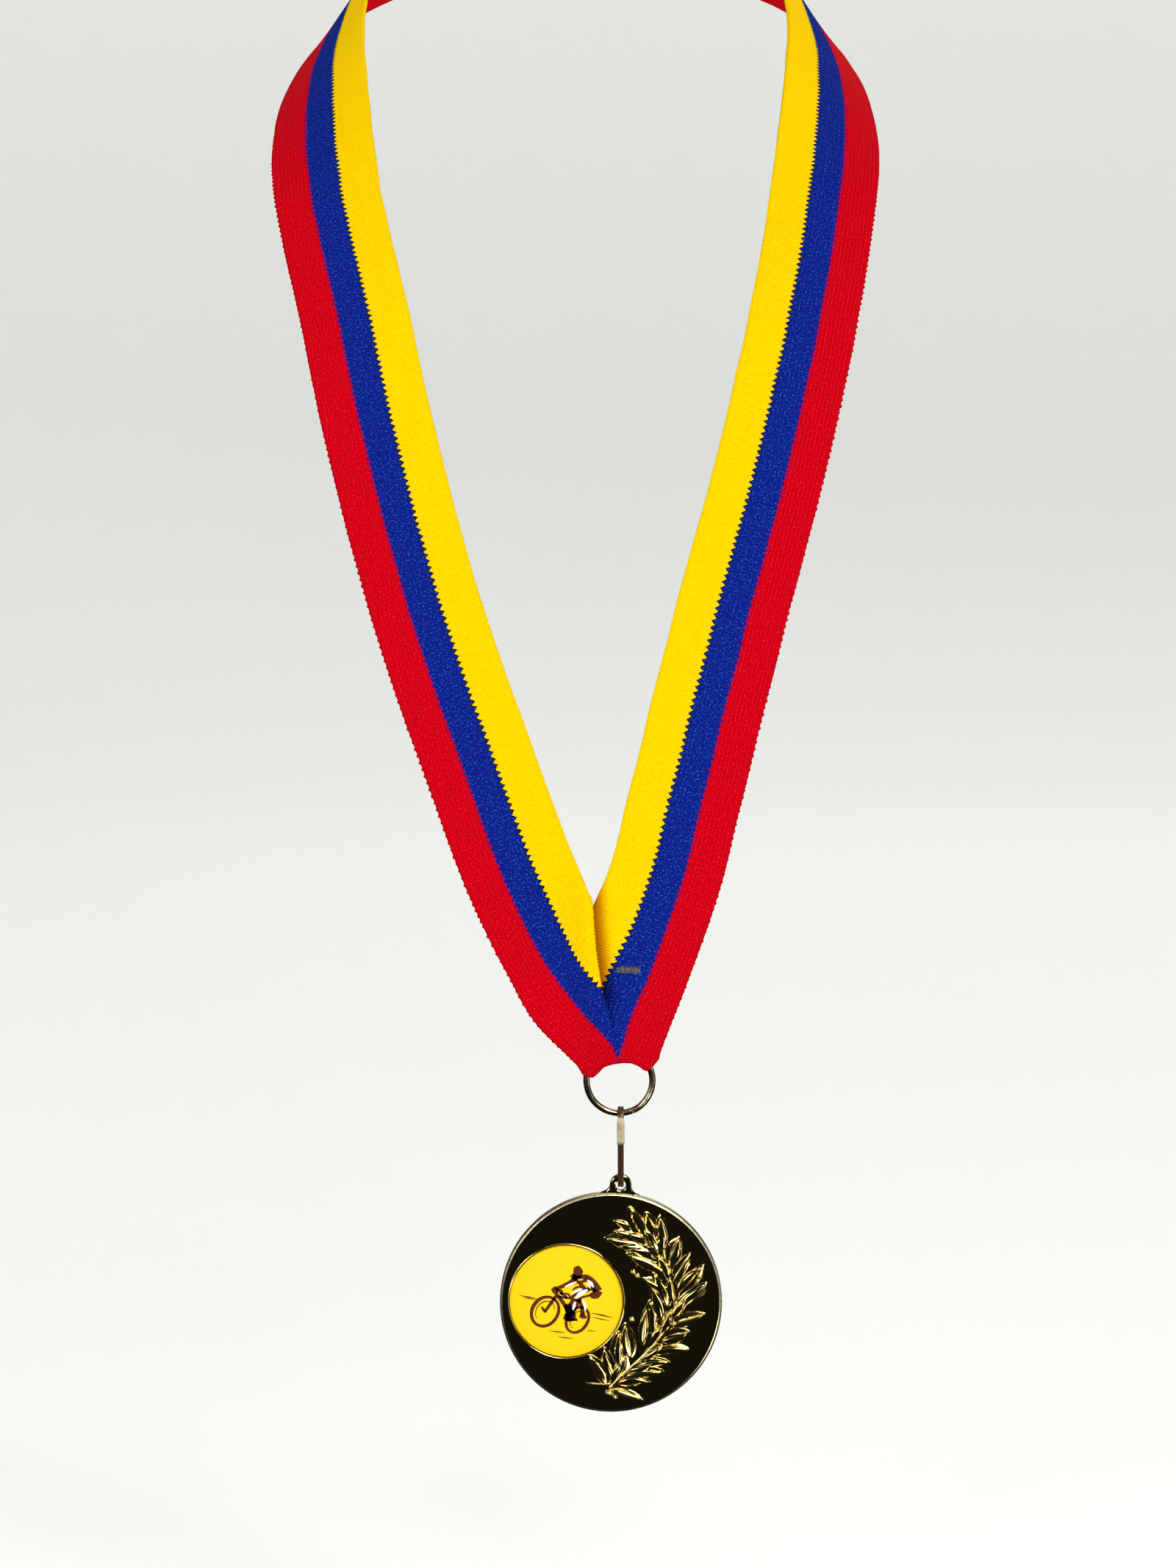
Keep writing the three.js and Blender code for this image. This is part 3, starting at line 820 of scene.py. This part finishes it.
laurelSet = dict(
    rise=0.85, webRise=0.22, seed=11, pairs=14, length=7.8, width=2.6, spread=46.0, innerOff=1.7,
    outerOff=0.9,
)
laurelStem = [(1.2, -19.4), (3.6, -16.4), (7.9, -11.8), (12.1, -6.0), (14.2, 0.6), (13.4, 5.6),
              (10.4, 11.2), (7.2, 14.2), (2.2, 17.0)]
laurelBerries = [(1.3, -20.6, 1.0), (3.4, -20.2, 0.6), (2.7, -21.4, 0.55), (8.8, 18.0, 0.7),
                 (7.6, 18.6, 0.6), (5.4, 6.6, 0.65), (4.4, 7.4, 0.6), (5.0, -3.4, 0.6),
                 (19.4, 7.6, 0.6)]


def addLeaf(bm, base, heading, length, width, rise, dice):
    # A pointed leaf: two sloping halves, a sunk midrib and a slight curl.
    leaf = bmesh.new()
    made = bmesh.ops.create_uvsphere(leaf, u_segments=28, v_segments=14, radius=1.0)["verts"]
    curl = dice.uniform(-0.5, 0.5)
    tip = dice.uniform(0.1, 0.45)
    roll = dice.uniform(-0.25, 0.25)
    for vert in made:
        x, y, z = vert.co
        t = z * 0.5 + 0.5
        body = max(1 - z * z, 1e-6) ** 0.5
        across = x / body
        fullness = (4 * t * (1 - t)) ** 0.25 * (1.12 - 0.35 * t)
        side = x * width / 2 * fullness
        top = 1 if y < -1e-4 else 0
        roof = max(1 - abs(across) ** 1.7, 0.0)
        dome = roof * body ** 0.6 * rise * (0.65 + 0.35 * t) * top
        rib = 0.22 * rise * math.exp(-((across / 0.15) ** 2)) * top * body
        lift = tip * t * t * top * 0.6
        height = -(dome - rib + lift + roll * x * top) + max(y, 0.0) * 0.35
        bend = curl * math.sin(math.pi * t)
        vert.co = Vector((side + bend, height, t * length))
    turn = Matrix.Rotation(heading, 4, "Y")
    bmesh.ops.transform(leaf, matrix=Matrix.Translation(base) @ turn, verts=made)
    addCopy(bm, leaf)


def buildLaurel(material):
    s = laurelSet
    dice = random.Random(s["seed"])
    face = -medalSet["half"]
    bm = bmesh.new()
    stem = catmullRom([Vector((x, face, z)) for x, z in laurelStem], 14)
    last = len(stem) - 1

    def thin(t):
        return 1.1 - 0.6 * t

    def place(i, side, spread, length, width, offset):
        along = (stem[i + 1] - stem[i]).normalized()
        right = Vector((along.z, 0, -along.x))
        heading = math.atan2(along.x, along.z) + side * math.radians(spread)
        lift = Vector((0, -dice.uniform(0.0, 0.3), 0))
        base = stem[i] + right * (side * offset)
        addLeaf(bm, base + lift, heading, length, width, s["rise"], dice)
        back = Vector((math.sin(heading), 0, math.cos(heading))) * -0.35
        addLeaf(bm, base + back, heading, length * 1.12, width * 1.6, s["webRise"], dice)

    for pair in range(s["pairs"]):
        share = pair / (s["pairs"] - 1)
        i = min(int((0.01 + 0.9 * share) * last), last - 1)
        for side, offset in ((-1, s["innerOff"]), (1, s["outerOff"])):
            spread = s["spread"] * dice.uniform(0.72, 1.25) * (1 - 0.4 * share ** 3)
            spread += 30 * (1 - smoothStep(share, 0.0, 0.12))
            length = s["length"] * dice.uniform(0.82, 1.1)
            fade = math.sin(math.pi * min(share * 1.3 + 0.1, 1.0)) ** 0.5 if share < 0.7 else 0.8
            width = s["width"] * dice.uniform(0.8, 1.05)
            place(i, side, spread, length, width, offset * fade)
        middle = min(i + 3, last - 1)
        place(middle, dice.choice((-1, 1)), dice.uniform(6, 22), 5.6, 2.1, 0.35)
    tip = stem[last] - stem[last - 1]
    addLeaf(bm, stem[last - 4], math.atan2(tip.x, tip.z), 5.6, 2.0, s["rise"], dice)
    addLeaf(bm, Vector((2.2, face, -18.3)), math.radians(-92), 6.4, 0.8, 0.5, dice)
    for x, z, radius in laurelBerries:
        ball = bmesh.ops.create_uvsphere(bm, u_segments=16, v_segments=10, radius=radius)["verts"]
        bmesh.ops.translate(bm, verts=ball, vec=(x, face - 0.1, z))
    branch = bmesh.new()
    sweep(branch, stem, 0.36, 0.3, Vector((0, 1, 0)), around=10, taper=thin)
    addCopy(bm, branch)
    placeOnMedal(bm)
    return makePiece("laurelBranch", bm, material)


disc = buildDisc(giltDisc)
lip = buildSeatLip(giltRelief)
lug = buildLug(gilt)
laurel = buildLaurel(giltRelief)
for piece in (disc, lip, lug, laurel):
    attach(piece, "medal")
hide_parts("medal_body")
print("medal")

insertSet = dict(radius=12.7, top=-1.3, bottom=-0.7, bold=1.6)


def printMaterial(name, colour, rough):
    n = Nodes(name)
    place = n.place()
    spots = n.noise(place, 900.0, 2.0)
    darker = tuple(c * 0.9 for c in colour[:3]) + (1,)
    n.set(Base_Color=n.mix(n.math("MULTIPLY", spots, 0.5), colour, darker), Roughness=rough)
    n.put(n.shader, "Specular IOR Level", 0.2)
    n.bump(spots, 0.15, 0.00002)
    return n.material


def buildInsert(material):
    s = insertSet
    bm = bmesh.new()
    r = s["radius"]
    top = s["top"]
    profile = [(0, s["bottom"]), (r, s["bottom"]), (r, top + 0.15), (r - 0.05, top + 0.05),
               (r - 0.18, top), (8, top), (4, top), (0, top)]
    lathe(bm, profile, 128, (medalSet["seatX"], 0, medalSet["seatZ"]))
    placeOnMedal(bm)
    return makePiece("printedInsert", bm, material)


def stroke(bm, points, widths, y):
    # A printed line of changing width along a smooth path, as a very thin slab.
    path = catmullRom([Vector((x, y, z)) for x, z in points], 6)
    n = len(path) - 1
    made = bmesh.ops.create_grid(bm, x_segments=1, y_segments=n, size=0.5)["verts"]
    for vert in made:
        i = round((vert.co.y + 0.5) * n)
        along = (path[min(i + 1, n)] - path[max(i - 1, 0)]).normalized()
        side = Vector((along.z, 0, -along.x))
        t = i / n * (len(widths) - 1)
        k = min(int(t), len(widths) - 2)
        half = (widths[k] + (widths[k + 1] - widths[k]) * (t - k)) * insertSet["bold"] / 2
        vert.co = path[i] + side * (2 * vert.co.x * half)
    faces = list({f for v in made for f in v.link_faces})
    grown = bmesh.ops.extrude_face_region(bm, geom=faces, use_keep_orig=True)
    moved = [v for v in grown["geom"] if isinstance(v, bmesh.types.BMVert)]
    bmesh.ops.translate(bm, vec=(0, 0.03, 0), verts=moved)


def ellipse(cx, cz, a, b, tilt, fromDeg=0, toDeg=360, count=14):
    points = []
    for i in range(count + 1):
        t = math.radians(fromDeg + (toDeg - fromDeg) * i / count)
        x, z = a * math.cos(t), b * math.sin(t)
        c, s = math.cos(math.radians(tilt)), math.sin(math.radians(tilt))
        points.append((cx + x * c - z * s, cz + x * s + z * c))
    return points


# The rider, in millimetres from the insert's centre: brown lines, then white highlights.
brownStrokes = [
    (ellipse(-4.5, -2.7, 2.9, 3.5, -28), [0.5, 0.34, 0.55, 0.4, 0.5]),
    (ellipse(2.9, -4.0, 2.3, 3.1, -28), [0.48, 0.36, 0.5, 0.34, 0.48]),
    (ellipse(-4.5, -2.7, 2.0, 2.5, -28, 40, 250), [0.08, 0.16, 0.08]),
    (ellipse(2.9, -4.0, 1.5, 2.1, -28, 60, 280), [0.08, 0.16, 0.08]),
    ([(-4.5, -2.7), (-3.3, -0.6), (-2.0, 1.6)], [0.4, 0.5, 0.45]),
    ([(-2.0, 1.2), (0.0, -1.2), (1.2, -3.6)], [0.5, 0.6, 0.5]),
    ([(-1.7, 0.9), (1.2, 0.7), (3.4, 0.2)], [0.35, 0.3, 0.3]),
    ([(3.2, 0.8), (2.2, -1.4), (1.2, -3.8)], [0.4, 0.5, 0.6]),
    ([(1.2, -3.9), (2.2, -4.0), (2.9, -4.0)], [0.45, 0.35, 0.4]),
    ([(-2.2, 2.3), (-1.3, 2.2), (-1.0, 1.3)], [0.4, 0.5, 0.3]),
    ([(1.1, 6.6), (2.0, 6.6), (3.1, 6.3)], [1.5, 2.2, 1.0]),
    ([(0.7, 6.1), (1.5, 5.6), (2.3, 5.3)], [0.5, 0.9, 0.5]),
    ([(2.2, 5.7), (4.2, 5.9), (5.9, 4.7), (6.9, 2.9)], [0.5, 0.7, 0.8, 1.4]),
    ([(6.9, 3.1), (6.5, 2.1), (5.4, 1.7)], [1.5, 1.3, 0.7]),
    ([(2.2, 5.3), (0.6, 4.3), (-1.0, 3.4), (-2.6, 2.6)], [1.3, 0.7, 0.55, 0.5]),
    ([(-3.2, 2.9), (-2.5, 2.2), (-1.9, 2.1)], [0.7, 1.0, 0.6]),
    ([(2.6, 4.9), (3.4, 3.6), (4.9, 2.6)], [0.5, 0.7, 0.5]),
    ([(5.6, 1.9), (3.6, 1.2), (1.7, -0.2)], [0.4, 0.3, 0.4]),
    ([(5.0, 3.4), (3.0, 2.6), (1.2, 1.0)], [0.4, 0.3, 0.5]),
    ([(1.5, 0.4), (1.1, -1.4), (0.5, -3.2)], [0.6, 0.8, 0.7]),
    ([(2.9, 0.6), (3.6, -0.9), (4.0, -2.9)], [0.35, 0.5, 0.7]),
    ([(-0.2, -3.4), (0.6, -3.6), (1.4, -3.9)], [0.8, 1.1, 0.9]),
    ([(3.3, -3.0), (4.2, -3.2), (4.9, -3.2)], [0.5, 0.6, 0.4]),
    (ellipse(1.3, -3.3, 0.9, 0.9, 0), [0.5, 0.4, 0.5]),
    ([(0.2, -0.6), (0.9, -2.0), (1.6, -2.9)], [0.9, 1.2, 0.8]),
    ([(3.2, 4.6), (4.0, 5.2), (4.9, 5.3)], [0.3, 0.6, 0.3]),
    ([(5.0, 3.0), (5.6, 3.5), (6.2, 3.4)], [0.4, 0.7, 0.5]),
    ([(2.9, 3.6), (2.0, 3.3), (1.2, 2.6)], [0.2, 0.35, 0.15]),
    ([(-1.6, 1.8), (-0.6, 1.5), (0.2, 0.6)], [0.35, 0.45, 0.3]),
    ([(-0.4, 1.9), (0.4, 1.6), (1.0, 0.9)], [0.15, 0.3, 0.2]),
    ([(-5.4, -1.6), (-4.9, -2.3), (-4.3, -3.0)], [0.2, 0.45, 0.2]),
    ([(-10.6, 0.5), (-8.4, 0.25), (-6.2, 0.0)], [0.05, 0.22, 0.06]),
    ([(-9.6, 0.0), (-8.2, -0.1), (-6.9, -0.25)], [0.05, 0.12, 0.05]),
    ([(5.9, -2.2), (8.4, -2.5), (10.9, -2.9)], [0.06, 0.24, 0.05]),
    ([(6.2, -3.1), (8.2, -3.4), (10.2, -3.6)], [0.05, 0.16, 0.05]),
    ([(-3.4, -7.0), (-1.2, -7.1), (0.4, -7.1)], [0.05, 0.18, 0.05]),
    ([(-1.2, -8.2), (0.6, -8.3), (2.4, -8.3)], [0.05, 0.16, 0.05]),
    ([(5.2, -6.3), (6.2, -6.3), (7.2, -6.3)], [0.05, 0.14, 0.05]),
]
whiteStrokes = [
    ([(2.0, 4.6), (0.8, 4.0), (-0.5, 3.3)], [0.15, 0.32, 0.15]),
    ([(4.4, 5.3), (5.3, 4.6), (5.9, 3.7)], [0.12, 0.4, 0.2]),
    ([(4.4, 4.5), (4.9, 4.1), (5.2, 3.4)], [0.1, 0.22, 0.1]),
    ([(4.6, 3.0), (3.2, 2.1), (2.1, 1.0)], [0.35, 0.62, 0.3]),
    ([(3.4, 3.1), (2.3, 2.6), (1.2, 1.8)], [0.15, 0.35, 0.15]),
    ([(2.0, 0.1), (1.9, -0.9), (1.7, -1.8)], [0.2, 0.42, 0.2]),
    ([(3.8, 0.6), (4.3, -0.5), (4.5, -1.7)], [0.2, 0.42, 0.2]),
]


def buildPrint(name, strokes, y, material):
    bm = bmesh.new()
    for points, widths in strokes:
        stroke(bm, points, widths, y)
    bmesh.ops.translate(bm, vec=(medalSet["seatX"], 0, medalSet["seatZ"]), verts=bm.verts)
    placeOnMedal(bm)
    return makePiece(name, bm, material, smooth=False)


yellowInk = printMaterial("insertYellow", (0.86, 0.53, 0.0, 1), 0.28)
brownInk = printMaterial("insertBrown", (0.1, 0.02, 0.006, 1), 0.35)
whiteInk = printMaterial("insertWhite", (0.85, 0.83, 0.88, 1), 0.35)
insert = buildInsert(yellowInk)
printBrown = buildPrint("riderPrint", brownStrokes, insertSet["top"] - 0.035, brownInk)
printWhite = buildPrint("riderLights", whiteStrokes, insertSet["top"] - 0.055, whiteInk)
for piece in (insert, printBrown, printWhite):
    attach(piece, "medal")
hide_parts("printed_insert")
print("insert")

padGlue = printMaterial("padGlue", (0.8, 0.8, 0.74, 1), 0.6)
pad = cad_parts["adhesive_pad"]
pad.data.materials.clear()
pad.data.materials.append(padGlue)

tackSet = dict(x=2.05, z=25.2, half=2.6, height=0.9, rows=13, thread=0.1)


def threadMaterial():
    n = Nodes("tackThread")
    place = n.place()
    twist = n.noise(place, 3200.0, 2.0)
    colour = n.mix(n.ramp(twist, 0.35, 0.65), (0.015, 0.02, 0.03, 1), (0.13, 0.12, 0.09, 1))
    n.set(Base_Color=colour, Roughness=0.9, Sheen_Weight=0.3)
    n.bump(twist, 0.6, 0.00006)
    return n.material


def buildTack(name, y, material, seed):
    s = tackSet
    dice = random.Random(seed)
    bm = bmesh.new()
    points = []
    for i in range(s["rows"] * 2 + 1):
        x = -s["half"] + 2 * s["half"] * i / (s["rows"] * 2)
        z = s["height"] * (1 if i % 2 else -1) * dice.uniform(0.7, 1.05)
        points.append(Vector((x, dice.uniform(-0.06, 0.06), z)))
    path = catmullRom(points, 4)
    centre = Vector((ringMiddle.x + s["x"], y, ringMiddle.z + s["z"]))
    sweep(bm, [(p + centre) * mm for p in path], s["thread"] * mm, s["thread"] * mm,
          Vector((0, 1, 0)), around=7)
    return makePiece(name, bm, material)


thread = threadMaterial()
tackFront = buildTack("barTackFront", -181.75, thread, 3)
tackBack = buildTack("barTackBack", -176.2, thread, 4)
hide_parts("bar_tack_front")
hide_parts("bar_tack_back")
for piece in (tackFront, tackBack):
    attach(piece, "ribbon")
print("tacks")

stageSet = dict(
    floorZ=-0.42, flat=2.2, radius=4.0, height=5.0, tone=(0.87, 0.88, 0.86, 1),
    toneDark=(0.8, 0.81, 0.79, 1), glow=(0.14, 0.42), glowTop=2.0,
)


def buildStage():
    s = stageSet
    profile = [(0, 0), (s["flat"], 0)]
    rise = s["radius"] - s["flat"]
    for i in range(1, 9):
        a = math.pi / 2 * i / 8
        profile.append((s["flat"] + rise * math.sin(a), rise - rise * math.cos(a)))
    profile.append((s["radius"], s["height"]))
    bm = bmesh.new()
    verts = [bm.verts.new((r, 0, z)) for r, z in profile]
    edges = [bm.edges.new(pair) for pair in zip(verts, verts[1:])]
    bmesh.ops.spin(bm, geom=verts + edges, cent=(0, 0, 0), axis=(0, 0, 1), angle=2 * math.pi,
                   steps=72, use_merge=True)
    bmesh.ops.remove_doubles(bm, verts=bm.verts, dist=1e-6)
    bmesh.ops.translate(bm, verts=bm.verts, vec=(0, 0, s["floorZ"]))
    n = Nodes("stagePaint")
    tone = n.noise(n.place(), 3.0, 2.0)
    paint = n.mix(n.math("MULTIPLY", tone, 0.06), s["tone"], s["toneDark"])
    split = n.add("ShaderNodeSeparateXYZ")
    n.put(split, 0, n.place())
    glow = n.ramp(split.outputs[2], s["floorZ"], s["glowTop"], *s["glow"])
    n.set(Base_Color=paint, Roughness=0.95, Emission_Color=paint, Emission_Strength=glow)
    floor = makePiece("studioFloor", bm, n.material)
    floor.visible_glossy = False


buildStage()

camera = bpy.data.objects.new("camera", bpy.data.cameras.new("camera"))
scene.collection.objects.link(camera)
camera.location = (0.00295, -1.1762, -0.1231)
camera.rotation_euler = (math.radians(85), 0, 0)
camera.data.lens = 102.95
camera.data.sensor_width = 36
camera.data.clip_start = 0.05
camera.data.clip_end = 60
scene.camera = camera


def areaLight(name, place, target, size, power, tone=(1, 1, 1)):
    data = bpy.data.lights.new(name, "AREA")
    data.shape = "RECTANGLE"
    data.size, data.size_y = size
    data.energy = power
    data.color = tone
    lamp = bpy.data.objects.new(name, data)
    scene.collection.objects.link(lamp)
    lamp.location = place
    lamp.rotation_mode = "QUATERNION"
    lamp.rotation_quaternion = (Vector(target) - Vector(place)).to_track_quat("-Z", "Y")
    return lamp


objectAt = (0, -0.18, -0.2)
medalAt = (0, -0.18, -0.3)
areaLight("keyLight", (1.1, -1.5, 1.3), objectAt, (0.7, 0.7), 20, (1.0, 0.985, 0.95))
areaLight("fillLeft", (-1.9, -0.9, 0.5), objectAt, (0.6, 1.4), 3.5, (0.95, 0.98, 1.0))
areaLight("frontPanel", (0.3, -1.7, 0.38), medalAt, (0.45, 0.3), 7)
areaLight("leftPanel", (-0.75, -1.55, 0.1), medalAt, (0.3, 0.4), 4)
areaLight("lowPanel", (0.75, -1.5, -0.9), medalAt, (0.4, 0.25), 3)
areaLight("rightStrip", (1.8, -0.8, -0.2), medalAt, (0.2, 1.2), 3)
areaLight("topLight", (0, -0.2, 2.4), objectAt, (2.6, 2.2), 12)
areaLight("backLight", (0.4, 2.2, 1.2), (0, 0, -0.1), (1.6, 1.2), 9)

world = bpy.data.worlds.new("studio")
scene.world = world
world.use_nodes = True
sky = world.node_tree.nodes["Background"]
sky.inputs["Color"].default_value = (0.9, 0.93, 1.0, 1)
sky.inputs["Strength"].default_value = 0.008
scene.view_settings.view_transform = "Standard"
print("stage")
